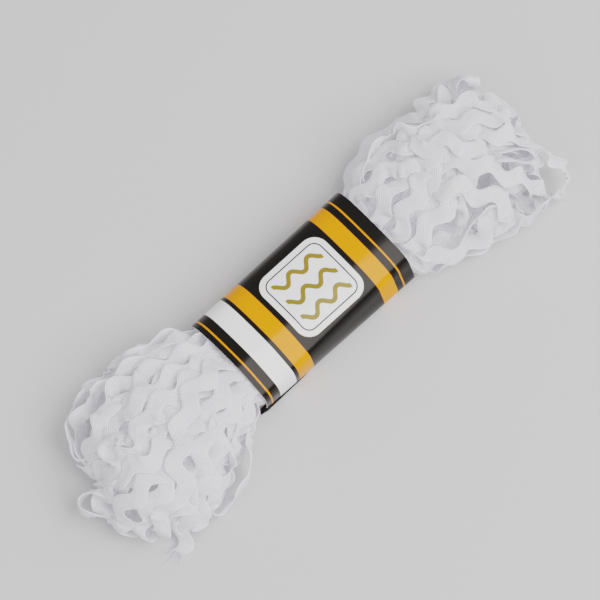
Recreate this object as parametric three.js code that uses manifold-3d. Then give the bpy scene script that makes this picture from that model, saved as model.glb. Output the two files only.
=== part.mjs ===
// A hank of wide ric rac braid lying on a table, held at its waist by a paper band.
// Millimetres, +Z up. X runs along the hank, and the camera side of the hank is -Y.
import * as THREE from "three";
import { mergeVertices } from "three/addons/utils/BufferGeometryUtils.js";
import Module from "manifold-3d";

// The braid: width across the tape, thickness, and the wave that its middle line follows.
const BRAID = { width: 6.2, thickness: 1.6, period: 13.5, swing: 2.0 };

// The paper band: its two ends along X, its widest lines in Y, its height, and the paper. Its front is
// a little nearer the middle at the left end than at the right end.
const BAND = {
  left: -37.3, right: 35.8, back: 20.8, frontLeft: -18.7, frontRight: -20.1, top: 21, side: 9, paper: 1.0,
};
const BAND_CLEARANCE = 0.4;
const BAND_CORNERS = { topPower: 2.3, backPower: 2.6, frontPower: 4 };
const LEAN = 0.052; // how far the whole hank leans to the left for each millimetre of height

// The tongue of paper that sticks out where the strip overlaps itself at the front bottom edge.
const TONGUE = { start: -2, past: 2.8, edge: -17.3, tip: -18.3, low: 0.8, high: 1.8 };

// The hank's hull outside the band, a row for each section: the widest lines, the top and their height.
const HULL = [
  { x: -110, back: 9, front: -25, top: 17, side: 6.5 },
  { x: -99, back: 18, front: -28, top: 22, side: 7.5 },
  { x: -86, back: 24, front: -30.5, top: 25, side: 8.5 },
  { x: -73, back: 25.5, front: -29.5, top: 26.5, side: 9 },
  { x: -60, back: 25.5, front: -25.5, top: 26, side: 9 },
  { x: -48, back: 24.3, front: -20.5, top: 23.5, side: 8.5 },
  { x: 44, back: 21.5, front: -23, top: 23.5, side: 8.5 },
  { x: 54, back: 25, front: -26, top: 26, side: 9 },
  { x: 68, back: 25, front: -29, top: 27.5, side: 9 },
  { x: 82, back: 23, front: -30.5, top: 26.5, side: 8.5 },
  { x: 94, back: 20, front: -28.5, top: 23.5, side: 7.5 },
  { x: 106, back: 14, front: -21, top: 19, side: 6.5 },
];
const HULL_CORNERS = { topPower: 2.1, backPower: 2.6, frontPower: 2.6 };

// The raised lanes of braid over the top of the hank, from the back edge to the front edge: how far
// each reaches to the left and right, how much it stands proud of the hull there, and its wave's start.
const LANES = [
  { left: -90, right: 92, leftLift: 0.0, rightLift: 0.4, start: 0.0 },
  { left: -95, right: 99, leftLift: 1.2, rightLift: 0.0, start: 0.9 },
  { left: -97, right: 105, leftLift: 0.0, rightLift: 1.4, start: 1.6 },
  { left: -98, right: 107.5, leftLift: 1.4, rightLift: 0.2, start: 0.4 },
  { left: -99, right: 107, leftLift: 0.2, rightLift: 1.6, start: 1.5 },
  { left: -103, right: 105, leftLift: 1.8, rightLift: 0.4, start: 2.6 },
  { left: -106.5, right: 102.5, leftLift: 0.3, rightLift: 1.2, start: 1.4 },
  { left: -107, right: 100, leftLift: 1.3, rightLift: -0.2, start: 0.5 },
  { left: -104, right: 94, leftLift: 0.0, rightLift: 1.0, start: 1.8 },
  { left: -93, right: 86, leftLift: 0.8, rightLift: 0.0, start: 0.8 },
];
const RIDGE = 0.9; // how far the middle of a lane stands above the hull, and its edges below
const LANE_SCALLOP = 2.6; // how far the end of a lane is rounded back at its edges
const WAVE_FADE = 7; // length past the band over which the waves and ridges grow
const ROUND_SHARE = 0.8; // share of a lane's reach after which the end rounds down
const FAN_STEP = 2.4;
const WAIST_STEPS = 8;
const ROUND_STEPS = 5;
const POINTS_PER_LANE = 3;
const LIP = 0.45; // straight stretch of the waist past each end of the band
const END_SLIT = 0.12; // share of the full height that is left at the very end of a lane

// Loops of braid that stand away from the hull on their edges, as the points that each runs through.
const LOOPS = [
  // The wide open loop at the far right end.
  [[86, -12, 12], [93, -14, 12], [99.3, -17.6, 11.5], [103, -23.3, 10.5], [102.8, -29.5, 9.5],
    [99, -33.3, 8], [93.5, -33.4, 7], [87, -31, 7]],
  // The small inner loop beside it.
  [[84, -15, 12], [90, -16, 12], [95, -19.5, 11.5], [94.5, -24.5, 11], [89, -26.5, 10.5], [82, -23, 10]],
  // The curl at the top of the right fan.
  [[78, 18.5, 12], [84, 22.6, 12.8], [90, 24.8, 12.8], [96.5, 24.4, 12.8], [101.4, 21.5, 12.5],
    [102.4, 17.5, 12], [98, 14.5, 11.5], [91, 13, 11]],
  // The arc along the front of the right fan.
  [[38.5, -20.2, 6], [47, -24.6, 6], [56, -27.9, 6], [65, -30.4, 6], [74, -31.8, 6], [82, -32.5, 6.2],
    [88.5, -31, 7], [92, -26.5, 8.5]],
  // The arc along the back of the right fan.
  [[42, 19.5, 9], [52, 24, 8.5], [64, 25, 8.5], [76, 23.3, 9], [85, 18.5, 10]],
  // The arc round the back of the left fan.
  [[-45, 22.8, 8.5], [-55, 25.8, 8.5], [-68, 27, 8.5], [-79.5, 27.6, 8.5], [-89, 25.9, 8.5],
    [-94.6, 21.4, 8.5], [-97.3, 15.5, 8.5], [-98, 9.5, 8.5], [-95, 3.5, 9]],
  // The curl at the far left end.
  [[-97, -2, 8], [-101.5, 0.6, 8], [-105.5, 1.6, 7.5], [-108.6, 0.4, 7], [-109.4, -2.6, 7],
    [-107.5, -6, 7], [-102, -8.5, 7.5]],
  // The two open loops at the front of the left fan.
  [[-43, -17.6, 7.5], [-51, -23, 7.5], [-58.5, -28.8, 7.5], [-65.5, -32.6, 7.5], [-71.3, -34.4, 7.5],
    [-77.5, -33.8, 8], [-84, -28.5, 8.5]],
  [[-50, -19.5, 9], [-59, -25.8, 9.5], [-68, -30.6, 10], [-76, -31, 10], [-83, -25.5, 10.5]],
];
const LOOP_STEP = 2.7;

// The cut end of the braid, which runs over the end of the left fan and down to the table. The hank
// is hollowed out along it by a little more than its own size.
const LOOSE_END = [
  [-76.6, -14.7, 26.6], [-79, -17.9, 25.4], [-81.6, -21.5, 23.4], [-84.2, -25.2, 20], [-86, -27.9, 16],
  [-87.9, -29.8, 11.4], [-90.2, -31.2, 6.4], [-93, -32.5, 2.4], [-96.4, -34.3, 1.2],
];
const LOOSE_CLEARANCE = 0.5;
const LOOSE_STEPS = 18;

// The underside of the hank and the band is drawn this share too deep and cut off level, which gives
// the flat spot that it lies on.
const FLAT_SHARE = 0.08;

const COLOURS = { braid: 0xf2f3f5, band: 0x1b1a18 };

const wasm = await Module();
wasm.setup();

// Straight-line lookup of a named column in rows that are sorted by x.
function column(rows, name, x) {
  if (x <= rows[0].x) return rows[0][name];
  for (let i = 1; i < rows.length; i++) {
    if (x > rows[i].x) continue;
    const low = rows[i - 1];
    const share = (x - low.x) / (rows[i].x - low.x);
    const smooth = share * share * (3 - 2 * share);
    return low[name] + (rows[i][name] - low[name]) * smooth;
  }
  return rows[rows.length - 1][name];
}

// The waist at x that fits inside the band, or the band's own outline when inset is 0.
function waist(x, inset) {
  const share = (x - BAND.left) / (BAND.right - BAND.left);
  return {
    back: BAND.back - inset,
    front: THREE.MathUtils.lerp(BAND.frontLeft, BAND.frontRight, share) + inset,
    top: BAND.top - inset,
    side: BAND.side,
    bottom: inset,
    ...BAND_CORNERS,
  };
}

// The hull's section at x, with the waist's row put in at both ends of the band.
const WAIST_INSET = BAND.paper + BAND_CLEARANCE;
const HULL_ROWS = [
  ...HULL.filter((row) => row.x < BAND.left).map((row) => ({ bottom: 0, ...HULL_CORNERS, ...row })),
  { x: BAND.left - LIP, ...waist(BAND.left, WAIST_INSET) },
  { x: BAND.right + LIP, ...waist(BAND.right, WAIST_INSET) },
  ...HULL.filter((row) => row.x > BAND.right).map((row) => ({ bottom: 0, ...HULL_CORNERS, ...row })),
];
function hullAt(x) {
  const names = ["back", "front", "top", "side", "bottom", "topPower", "backPower", "frontPower"];
  return Object.fromEntries(names.map((name) => [name, column(HULL_ROWS, name, x)]));
}

// A point of a section at an angle, from 0 at the back edge over the top to half a turn at the front
// edge, and on below. Each quarter is a superellipse.
function sectionPoint(section, angle) {
  const middle = (section.back + section.front) / 2;
  const half = (section.back - section.front) / 2;
  const c = Math.cos(angle);
  const s = Math.sin(angle);
  const low = c > 0 ? section.backPower : section.frontPower;
  const power = 2 / (s >= 0 ? section.topPower : low);
  const drop = (section.side - section.bottom) * (1 + FLAT_SHARE);
  const rise = s >= 0 ? section.top - section.side : drop;
  const z = section.side + rise * Math.sign(s) * Math.abs(s) ** power;
  return new THREE.Vector2(
    middle + half * Math.sign(c) * Math.abs(c) ** power,
    Math.max(z, section.bottom),
  );
}

// Points of a section at shares of the length of the way between two angles.
const FINE = 72;
function alongSection(section, from, to, shares) {
  const fine = [];
  for (let i = 0; i <= FINE; i++) fine.push(sectionPoint(section, from + ((to - from) * i) / FINE));
  const run = [0];
  for (let i = 1; i <= FINE; i++) run.push(run[i - 1] + fine[i].distanceTo(fine[i - 1]));
  const total = run[FINE];
  return shares.map((share) => {
    const wanted = Math.min(Math.max(share, 0), 1) * total;
    const i = Math.max(1, run.findIndex((length) => length >= wanted - 1e-9));
    const part = (wanted - run[i - 1]) / (run[i] - run[i - 1]);
    const point = fine[i - 1].clone().lerp(fine[i], part);
    const along = fine[i].clone().sub(fine[i - 1]).normalize();
    return { point, outward: new THREE.Vector2(-along.y, along.x).negate(), total };
  });
}

// A lane table's column, blended between the middles of neighbouring lanes.
function laneValue(name, share) {
  const place = Math.min(Math.max(share * LANES.length - 0.5, 0), LANES.length - 1);
  const low = Math.min(Math.floor(place), LANES.length - 2);
  return THREE.MathUtils.lerp(LANES[low][name], LANES[low + 1][name], place - low);
}

// How far a share of the way over the top reaches to one side, rounded back between lanes.
function reach(side, share) {
  const inLane = (share * LANES.length) % 1;
  const edge = Math.abs(2 * inLane - 1) ** 2;
  return laneValue(side, share) - Math.sign(laneValue(side, share)) * LANE_SCALLOP * edge;
}

// The shares at which a ring has points over the top: a valley, then the two shoulders of a lane.
const TOP_SHARES = [];
for (let i = 0; i < LANES.length * POINTS_PER_LANE; i++) {
  const inLane = [0, 0.26, 0.74][i % POINTS_PER_LANE];
  TOP_SHARES.push((Math.floor(i / POINTS_PER_LANE) + inLane) / LANES.length);
}
TOP_SHARES.push(1);
const BOTTOM_SHARES = LANES.slice(1).map((_, i) => (i + 1) / LANES.length);

// One ring of the hank. side is left or right, along is 0 at the band and 1 at the end of the fan,
// and height is what is left of the full height there.
function ring(side, along, height) {
  const mouth = side === "left" ? BAND.left - LIP : BAND.right + LIP;
  const points = [];
  const place = (share, x, from, to, raised) => {
    const section = hullAt(x);
    const grown = Math.min(Math.abs(x - mouth) / WAVE_FADE, 1) * raised;
    const lane = Math.min(Math.floor(share * LANES.length), LANES.length - 1);
    const valley = (share * LANES.length) % 1 === 0;
    const turn = (2 * Math.PI * x) / BRAID.period;
    const own = Math.sin(turn + LANES[lane].start);
    const before = Math.sin(turn + LANES[Math.max(lane - 1, 0)].start);
    const swing = BRAID.swing * grown * (valley ? (own + before) / 2 : own);
    const inner = Math.min(share, 1 - share) * LANES.length;
    const [first] = alongSection(section, from, to, [share]);
    const moved = share + ((0.75 * swing) / first.total) * Math.min(inner, 1);
    const [{ point, outward }] = alongSection(section, from, to, [moved]);
    const lift = laneValue(`${side}Lift`, share) + (valley ? -RIDGE : RIDGE);
    point.addScaledVector(outward, lift * grown * Math.min(inner * 2, 1));
    const y = point.x;
    const z = section.side + (point.y - section.side) * height;
    return new THREE.Vector3(x, y, Math.max(z, section.bottom));
  };
  const xAt = (share) => mouth + along * (reach(side, share) - mouth);
  for (const share of TOP_SHARES) points.push(place(share, xAt(share), 0, Math.PI, 1));
  for (const share of [...BOTTOM_SHARES].reverse()) {
    points.push(place(share, xAt(share), 2 * Math.PI, Math.PI, 0));
  }
  return points;
}

// The waist's rings between the two fans.
function waistRing(x) {
  const section = waist(x, WAIST_INSET);
  const over = alongSection(section, 0, Math.PI, TOP_SHARES);
  const under = alongSection(section, 2 * Math.PI, Math.PI, [...BOTTOM_SHARES].reverse());
  return [...over, ...under].map(({ point }) => new THREE.Vector3(x, point.x, point.y));
}

// The hank without its stray loops, as rings from its left end to its right end.
function hull() {
  const fan = (side) => {
    const mouth = side === "left" ? BAND.left : BAND.right;
    const longest = Math.max(...LANES.map((lane) => Math.abs(lane[side] - mouth)));
    const steps = Math.round((longest * ROUND_SHARE) / FAN_STEP);
    const rings = [];
    for (let i = 1; i <= steps; i++) rings.push(ring(side, (ROUND_SHARE * i) / steps, 1));
    for (let i = 1; i <= ROUND_STEPS; i++) {
      const turn = (i / ROUND_STEPS) * (Math.PI / 2);
      const height = END_SLIT + (1 - END_SLIT) * Math.cos(turn);
      rings.push(ring(side, ROUND_SHARE + (1 - ROUND_SHARE) * Math.sin(turn), height));
    }
    return rings;
  };
  const rings = fan("left").reverse();
  const start = BAND.left - LIP;
  const length = BAND.right + LIP - start;
  for (let i = 0; i <= WAIST_STEPS; i++) rings.push(waistRing(start + (length * i) / WAIST_STEPS));
  rings.push(...fan("right"));
  return stitch(rings);
}

// Joins rings of equal size into one closed surface. Each end is closed lane by lane.
function stitch(rings) {
  const size = rings[0].length;
  const triangles = [];
  for (let r = 0; r + 1 < rings.length; r++) {
    for (let i = 0; i < size; i++) {
      const a = r * size + i;
      const b = r * size + ((i + 1) % size);
      triangles.push([a, b, b + size], [a, b + size, a + size]);
    }
  }
  const top = TOP_SHARES.length - 1;
  const under = (i) => (i === 0 ? 0 : i === LANES.length ? top : size - i);
  const close = (base, flip) => {
    for (let lane = 0; lane < LANES.length; lane++) {
      const t = lane * POINTS_PER_LANE;
      const [b0, b1] = [under(lane), under(lane + 1)];
      const faces = [[t, b0, t + 1], [t + 1, b0, b1], [t + 1, b1, t + 2], [t + 2, b1, t + 3]];
      for (const face of faces) {
        if (new Set(face).size < 3) continue;
        const [p, q, s] = face.map((i) => i + base);
        triangles.push(flip ? [p, s, q] : [p, q, s]);
      }
    }
  };
  close(0, false);
  close((rings.length - 1) * size, true);
  return surface(rings.flat(), triangles);
}

function surface(points, triangles) {
  const geometry = new THREE.BufferGeometry();
  geometry.setAttribute("position", new THREE.Float32BufferAttribute(points.flatMap((p) => p.toArray()), 3));
  geometry.setIndex(triangles.flat());
  return geometry;
}

// Braid swept along a route through the given points. lean turns the tape from standing on its edge,
// 0, to lying flat, a quarter turn, and its waves run in the tape's own plane. grown makes it bigger
// all round.
function sweep(route, steps, lean, waves, grown = 0) {
  const curve = new THREE.CatmullRomCurve3(route.map((point) => new THREE.Vector3(...point)));
  const total = curve.getLength();
  const w = BRAID.width / 2 + grown;
  const t = BRAID.thickness / 2 + grown;
  const outline = [[w, 0], [w - t, t], [t - w, t], [-w, 0], [t - w, -t], [w - t, -t]];
  const points = [];
  for (let i = 0; i <= steps; i++) {
    const along = curve.getTangentAt(i / steps);
    const side = new THREE.Vector3(0, 0, 1).cross(along).normalize();
    const up = along.clone().cross(side);
    const across = up.clone().multiplyScalar(Math.cos(lean)).addScaledVector(side, Math.sin(lean));
    const through = along.clone().cross(across);
    const swing = waves * BRAID.swing * Math.sin((2 * Math.PI * total * i) / steps / BRAID.period);
    const middle = curve.getPointAt(i / steps).addScaledVector(across, swing);
    for (const [a, b] of outline) {
      points.push(middle.clone().addScaledVector(across, a).addScaledVector(through, b));
    }
  }
  const n = outline.length;
  const triangles = [];
  for (let r = 0; r < steps; r++) {
    for (let i = 0; i < n; i++) {
      const a = r * n + i;
      const b = r * n + ((i + 1) % n);
      triangles.push([a, b, b + n], [a, b + n, a + n]);
    }
  }
  const last = steps * n;
  for (let i = 1; i + 1 < n; i++) {
    triangles.push([0, i + 1, i], [last, last + i, last + i + 1]);
  }
  for (const point of points) point.z = Math.max(point.z, 0);
  return surface(points, triangles);
}

function solid(geometry) {
  const bare = geometry.index ? geometry : geometry.clone();
  bare.deleteAttribute("normal");
  bare.deleteAttribute("uv");
  const merged = mergeVertices(bare, 1e-4);
  const mesh = new wasm.Mesh({
    numProp: 3,
    vertProperties: merged.attributes.position.array,
    triVerts: new Uint32Array(merged.index.array),
  });
  const made = new wasm.Manifold(mesh);
  if (made.volume() <= 0) throw new Error("a surface faces inwards");
  return made;
}

function geometryOf(made) {
  const { vertProperties, triVerts, numProp } = made.getMesh();
  const geometry = new THREE.BufferGeometry();
  const positions = new Float32Array((vertProperties.length / numProp) * 3);
  for (let i = 0; i * numProp < vertProperties.length; i++) {
    positions.set(vertProperties.subarray(i * numProp, i * numProp + 3), i * 3);
  }
  geometry.setAttribute("position", new THREE.BufferAttribute(positions, 3));
  geometry.setIndex(new THREE.BufferAttribute(triVerts, 1));
  geometry.computeVertexNormals();
  return geometry;
}

function hank() {
  let made = solid(hull());
  for (const route of LOOPS) {
    const length = new THREE.CatmullRomCurve3(route.map((p) => new THREE.Vector3(...p))).getLength();
    made = made.add(solid(sweep(route, Math.round(length / LOOP_STEP), 0, 0.5)));
  }
  return geometryOf(leaning(made).subtract(solid(groove())));
}

// The room that the loose end needs, also past its start.
function groove() {
  const [first, second] = LOOSE_END.map((point) => new THREE.Vector3(...point));
  const ahead = first.clone().sub(second).setLength(LOOSE_CLEARANCE);
  const route = [first.add(ahead).toArray(), ...LOOSE_END.slice(1)];
  return sweep(route, LOOSE_STEPS, Math.PI / 2, 0, LOOSE_CLEARANCE);
}

// A solid leant over to the left, its underside left in place.
function leaning(made) {
  return made.warp((point) => {
    point[0] -= LEAN * point[2];
  });
}

// The band is what lies between its outline and the same outline one paper thickness further in.
const BAND_POINTS = 28;
function paperBand() {
  const shares = Array.from({ length: BAND_POINTS }, (_, i) => i / BAND_POINTS);
  const ringOf = (x, inset) => {
    const section = waist(x, inset);
    const over = alongSection(section, 0, Math.PI, shares);
    const under = alongSection(section, Math.PI, 2 * Math.PI, shares);
    return [...over, ...under].map(({ point }) => new THREE.Vector3(x, point.x, point.y));
  };
  const { left, right, paper } = BAND;
  const rings = [ringOf(left, 0), ringOf(right, 0), ringOf(right, paper), ringOf(left, paper)];
  const size = 2 * BAND_POINTS;
  const triangles = [];
  for (let r = 0; r < 4; r++) {
    for (let i = 0; i < size; i++) {
      const next = (i + 1) % size;
      const [a, b] = [r * size + i, r * size + next];
      const [c, d] = [((r + 1) % 4) * size + next, ((r + 1) % 4) * size + i];
      triangles.push([a, b, c], [a, c, d]);
    }
  }
  return geometryOf(leaning(solid(surface(rings.flat(), triangles)).add(solid(tongue()))));
}

// A thin wedge of paper along the front bottom edge, widest past the band's left end.
function tongue() {
  const corners = [
    [TONGUE.start, TONGUE.edge],
    [BAND.left - TONGUE.past, TONGUE.edge],
    [BAND.left - TONGUE.past, TONGUE.tip],
  ].map(([x, y]) => new THREE.Vector2(x, y));
  const plate = new THREE.ExtrudeGeometry(new THREE.Shape(corners), {
    depth: TONGUE.high - TONGUE.low,
    bevelEnabled: false,
  });
  return plate.translate(0, 0, TONGUE.low);
}

function mesh(name, geometry, colour, roughness) {
  const made = new THREE.Mesh(geometry, new THREE.MeshStandardMaterial({ color: colour, roughness }));
  made.name = name;
  return made;
}

const group = new THREE.Group();
group.add(mesh("hank", hank(), COLOURS.braid, 0.85));
group.add(mesh("paper_band", paperBand(), COLOURS.band, 0.25));

// The origin is the bottom centre of the box round the hank and its band.
const box = new THREE.Box3().setFromObject(group);
const centre = box.getCenter(new THREE.Vector3());
group.position.set(-centre.x, -centre.y, -box.min.z);

group.add(mesh("loose_end", sweep(LOOSE_END, LOOSE_STEPS, Math.PI / 2, 0), COLOURS.braid, 0.85));

export default group;
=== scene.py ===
"""A flat hank of white ric rac, its waist held by a printed paper band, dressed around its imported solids.

Lengths are in millimetres in the hank's own frame until a mesh is made. That frame has its origin on the
table below the middle of the picture's band, X along the hank and Z up.
"""

import itertools
import math

import bpy
import numpy as np
from mathutils import Matrix, Vector
from mathutils.bvhtree import BVHTree


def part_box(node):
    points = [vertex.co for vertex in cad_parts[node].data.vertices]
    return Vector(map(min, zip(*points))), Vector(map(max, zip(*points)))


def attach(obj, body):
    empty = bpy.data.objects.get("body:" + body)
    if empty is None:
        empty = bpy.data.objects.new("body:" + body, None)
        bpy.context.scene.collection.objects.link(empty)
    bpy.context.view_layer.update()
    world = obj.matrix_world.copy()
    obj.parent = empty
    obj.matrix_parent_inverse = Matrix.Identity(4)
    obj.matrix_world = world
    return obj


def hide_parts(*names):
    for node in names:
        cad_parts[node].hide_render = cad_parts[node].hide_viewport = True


MM = 0.001
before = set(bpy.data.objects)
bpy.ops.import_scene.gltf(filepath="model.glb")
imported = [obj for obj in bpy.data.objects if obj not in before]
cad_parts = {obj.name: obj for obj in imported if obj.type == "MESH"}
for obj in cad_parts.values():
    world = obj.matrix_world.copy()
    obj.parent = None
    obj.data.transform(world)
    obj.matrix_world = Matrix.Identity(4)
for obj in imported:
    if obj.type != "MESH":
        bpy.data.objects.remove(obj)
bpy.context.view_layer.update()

# The band in the hank's own frame: its ends at the table, its widest line at the back, how far the hank
# leans to the left as it rises, as a share of its height, and the paper's thickness.
BAND_LEFT, BAND_RIGHT = -37.3, 35.8
BAND_BACK = 20.8
LEAN = 0.052
PAPER = 0.35

# The band's outline at its left end and at its right end, from the middle of the underside round the back,
# over the top and down the front: left y, left z, right y, right z.
BAND_OUTLINE = [
    (0, 0, 0, 0), (11, 0, 11, 0), (17.6, 1.0, 17.6, 1.0), (20.2, 4.4, 20.2, 4.4),
    (BAND_BACK, 9, BAND_BACK, 9), (20.0, 13.6, 20.0, 14.0), (18.0, 17.2, 17.7, 17.9),
    (14.4, 19.8, 13.6, 19.8), (9, 20.9, 8, 20.0), (1.6, 21.0, 1, 19.3), (-5.4, 20.2, -6, 18.3),
    (-10.2, 18.2, -11, 17.1), (-14.6, 15.6, -14.6, 15.5), (-17.3, 13.6, -16.9, 13.1),
    (-18.5, 10.6, -18.3, 9.0), (-18.7, 6.4, -19.8, 4.5), (-18.2, 2.2, -20.0, 1.8),
    (-16.4, 0.1, -18.4, 0.1), (-9, 0, -9, 0),
]
_, band_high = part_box("paper_band")
OFFSET = Vector((band_high.x - BAND_RIGHT * MM, band_high.y - BAND_BACK * MM, 0))

# The picture's view: a square frame of this many pixels, looked at from above the front left, with AIM, a
# place on the table, at its middle.
FRAME_PIXELS = 600
AZIMUTH, ELEVATION = -44.5, 70.0
PIXELS_PER_MM = 2.75
CAMERA_DISTANCE = 900.0
SENSOR = 36.0
AIM = Vector((0.32, 3.43, 0.0))
CLIP_START, CLIP_END = 0.01, 20

# The braid: tape width and thickness, its wave, the share of the wave's slope by which the tape's edges
# turn with it, and its lengthwise ribs.
TAPE_WIDTH, TAPE_THICKNESS = 6.4, 0.62
WAVE_LENGTH, WAVE_SWING = 13.5, 1.85
EDGE_TURN = 0.12
RIBS, RIB_DEPTH = 8, 0.12

# The net of points that the braid settles on: rows across the tape and the points of each row.
ROWS_PER_WAVE = 8
COLUMNS = 5
MIDDLE, LAST = COLUMNS // 2, COLUMNS - 1
ROW_STEP = WAVE_LENGTH / ROWS_PER_WAVE


def to_frame(point):
    """A point of the hank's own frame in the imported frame, in metres."""
    return Vector(point) * MM + OFFSET


def from_frame(point):
    """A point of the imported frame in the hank's own frame."""
    return (Vector(point) - OFFSET) / MM


def add_object(name, data):
    """A new object in the scene."""
    added = bpy.data.objects.new(name, data)
    bpy.context.scene.collection.objects.link(added)
    return added


def make_camera():
    """A long lens at the picture's viewing angle."""
    turn, rise = math.radians(AZIMUTH), math.radians(ELEVATION)
    back = Vector((math.sin(turn) * math.cos(rise), -math.cos(turn) * math.cos(rise), math.sin(rise)))
    data = bpy.data.cameras.new("view")
    data.sensor_width = SENSOR
    data.lens = SENSOR * CAMERA_DISTANCE * PIXELS_PER_MM / FRAME_PIXELS
    data.clip_start, data.clip_end = CLIP_START, CLIP_END
    camera = add_object("view", data)
    camera.location = to_frame(AIM + back * CAMERA_DISTANCE)
    camera.rotation_euler = back.to_track_quat("Z", "Y").to_euler()
    bpy.context.scene.camera = camera
    bpy.context.view_layer.update()
    return camera


camera = make_camera()
hank_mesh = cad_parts["hank"].data
hull = BVHTree.FromPolygons(
    [v.co.copy() for v in hank_mesh.vertices], [tuple(p.vertices) for p in hank_mesh.polygons]
)


def pixel_ray(u, v):
    """The camera's place and the direction through a pixel of the picture."""
    half = FRAME_PIXELS / 2
    slope = SENSOR / camera.data.lens / FRAME_PIXELS
    local = Vector(((u - half) * slope, (half - v) * slope, -1))
    return camera.matrix_world.translation, (camera.matrix_world.to_3x3() @ local).normalized()


RIM_HEIGHT = 9.0  # height at which a strand lies where the picture shows it outside the solid


def on_hull(u, v, sink):
    """The point of the hank seen at a pixel, sunk below its surface along the line of sight."""
    start, way = pixel_ray(u, v)
    place, normal, _, _ = hull.ray_cast(start, way)
    if place is None:
        place = start + way * ((RIM_HEIGHT * MM - start.z) / way.z)
        normal = Vector((0, 0, 1))
    return np.array(from_frame(place + way * sink * MM)), np.array(normal)


# Strands of braid as the picture shows them, traced from the band outwards. Each row is a pixel
# of the 600 pixel frame, how many millimetres the strand lies below the hank's surface there, and how
# far the tape is rolled about its own line, in degrees: 0 lies flat and 90 stands on its edge.
# The first entry is the layer: 0 leaves the band at its top, 1 and 2 come from further inside. The second
# is the form: a flat strand goes on to the fan's rim and back below, an open one turns where it is seen to.
RIGHT_STRANDS = [
    (0, "open", [(347, 190, 4, 20), (352, 172, 1, 20), (361, 154, 0, 20), (376, 138, 0, 25),
        (392, 127, 0, 30), (410, 119, 1, 30), (428, 114, 2, 30), (446, 112, 3, 10)]),
    (1, "open", [(358, 182, 4, 60), (366, 165, 1, 80), (376, 149, 0, 88), (388, 138, 0, 90),
        (400, 131, 0, 90), (412, 132, 0, 90), (424, 125, 0, 85), (436, 118, 2, 60)]),
    (0, "flat", [(354, 194, 3, 10), (362, 173, 1, 15), (374, 159, 1, 20), (390, 150, 1, 20),
        (406, 146, 1, 20), (426, 149, 2, 10), (444, 152, 3, 0), (462, 152, 4, 0)]),
    (0, "flat", [(357, 200, 1, 10), (366, 187, 1, 15), (382, 178, 1, 0), (396, 166, 1, 0), (412, 168, 2, 0),
        (430, 172, 3, 0), (450, 178, 4, 0)]),
    (0, "flat", [(380, 226, 1, 0), (378, 210, 1, 0), (388, 198, 1, 0), (397, 186, 2, 10), (402, 172, 3, 20),
        (410, 160, 4, 30)]),
    (0, "flat", [(394, 238, 1, 0), (403, 222, 1, 0), (408, 206, 1, 0), (418, 192, 1, 0), (424, 178, 2, 10),
        (432, 164, 4, 20)]),
    (0, "flat", [(411, 256, 1, 0), (415, 240, 1, 0), (428, 228, 0, 0), (438, 216, 0, 0), (446, 202, 1, 0),
        (458, 196, 1, 0), (466, 208, 2, 0), (458, 222, 4, 0)]),
    (1, "open", [(440, 246, 5, 30), (456, 240, 2, 60), (467, 230, 0, 85), (476, 218, 0, 90),
        (488, 211, 0, 90), (497, 205, 2, 70), (503, 198, 5, 40)]),
    (0, "flat", [(418, 266, 1, 0), (436, 259, 1, 0), (456, 251, 1, 0), (474, 243, 1, 0), (486, 230, 1, 0),
        (497, 214, 1, 0), (503, 198, 2, 0), (508, 184, 5, 0)]),
    (0, "open", [(415, 275, 3, 60), (432, 268, 2, 80), (452, 260, 1, 88), (474, 251, 1, 90),
        (494, 240, 1, 90), (511, 229, 1, 90), (523, 219, 1, 85), (515, 213, 7, 60), (500, 212, 10, 30)]),
    (1, "open", [(420, 200, 6, 0), (436, 190, 2, 0), (454, 187, 0, 0), (472, 193, 0, 0), (490, 197, 0, 0),
        (503, 205, 0, 10), (507, 218, 0, 20), (498, 229, 2, 30), (484, 234, 5, 30)]),
    (1, "open", [(425, 172, 6, 0), (444, 166, 2, 0), (464, 163, 0, 0), (484, 167, 0, 0), (504, 174, 0, 0),
        (522, 180, 0, 0), (536, 188, 0, 20), (545, 198, 0, 80), (542, 209, 0, 90), (530, 217, 1, 85),
        (514, 222, 3, 60), (498, 224, 5, 30)]),
    (1, "flat", [(392, 150, 5, 30), (408, 146, 1, 10), (424, 148, 0, 0), (440, 142, 0, 0), (455, 142, 0, 0),
        (470, 150, 1, 0), (484, 158, 3, 0)]),
    (1, "flat", [(410, 138, 5, 20), (428, 128, 2, 0), (444, 114, 0, 0), (462, 104, 0, 0), (482, 104, 0, 0),
        (499, 103, 0, 15), (510, 114, 1, 40)]),
    (1, "flat", [(420, 148, 6, 0), (438, 130, 2, 0), (454, 124, 0, 0), (470, 122, 0, 0), (486, 118, 0, 0),
        (502, 120, 0, 10), (515, 132, 1, 20)]),
    (2, "flat", [(440, 156, 6, 0), (460, 146, 2, 0), (478, 136, 1, 0), (494, 134, 0, 0), (510, 138, 0, 0),
        (524, 140, 0, 30)]),
    (1, "open", [(404, 129, 5, 30), (415, 116, 1, 40), (426, 103, 0, 40), (437, 93, 0, 42),
        (449, 85, 0, 50), (461, 78, 0, 78), (469, 81, 0, 88), (464, 88, 1, 75), (454, 92, 2, 55),
        (445, 100, 4, 20)]),
    (1, "open", [(480, 156, 5, 40), (500, 151, 2, 60), (518, 149, 0, 70), (533, 151, 0, 78),
        (545, 152, 0, 75), (554, 158, 0, 62), (562, 167, 0, 60), (568, 178, 0, 70), (565, 189, 0, 85),
        (556, 196, 0, 88), (544, 201, 4, 85), (530, 203, 9, 60), (512, 205, 12, 30)]),
    (2, "open", [(484, 164, 5, 30), (504, 158, 2, 60), (521, 163, 0, 80), (533, 169, 0, 88),
        (539, 180, 1, 85), (531, 187, 6, 60), (512, 188, 9, 30)]),
]
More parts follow.
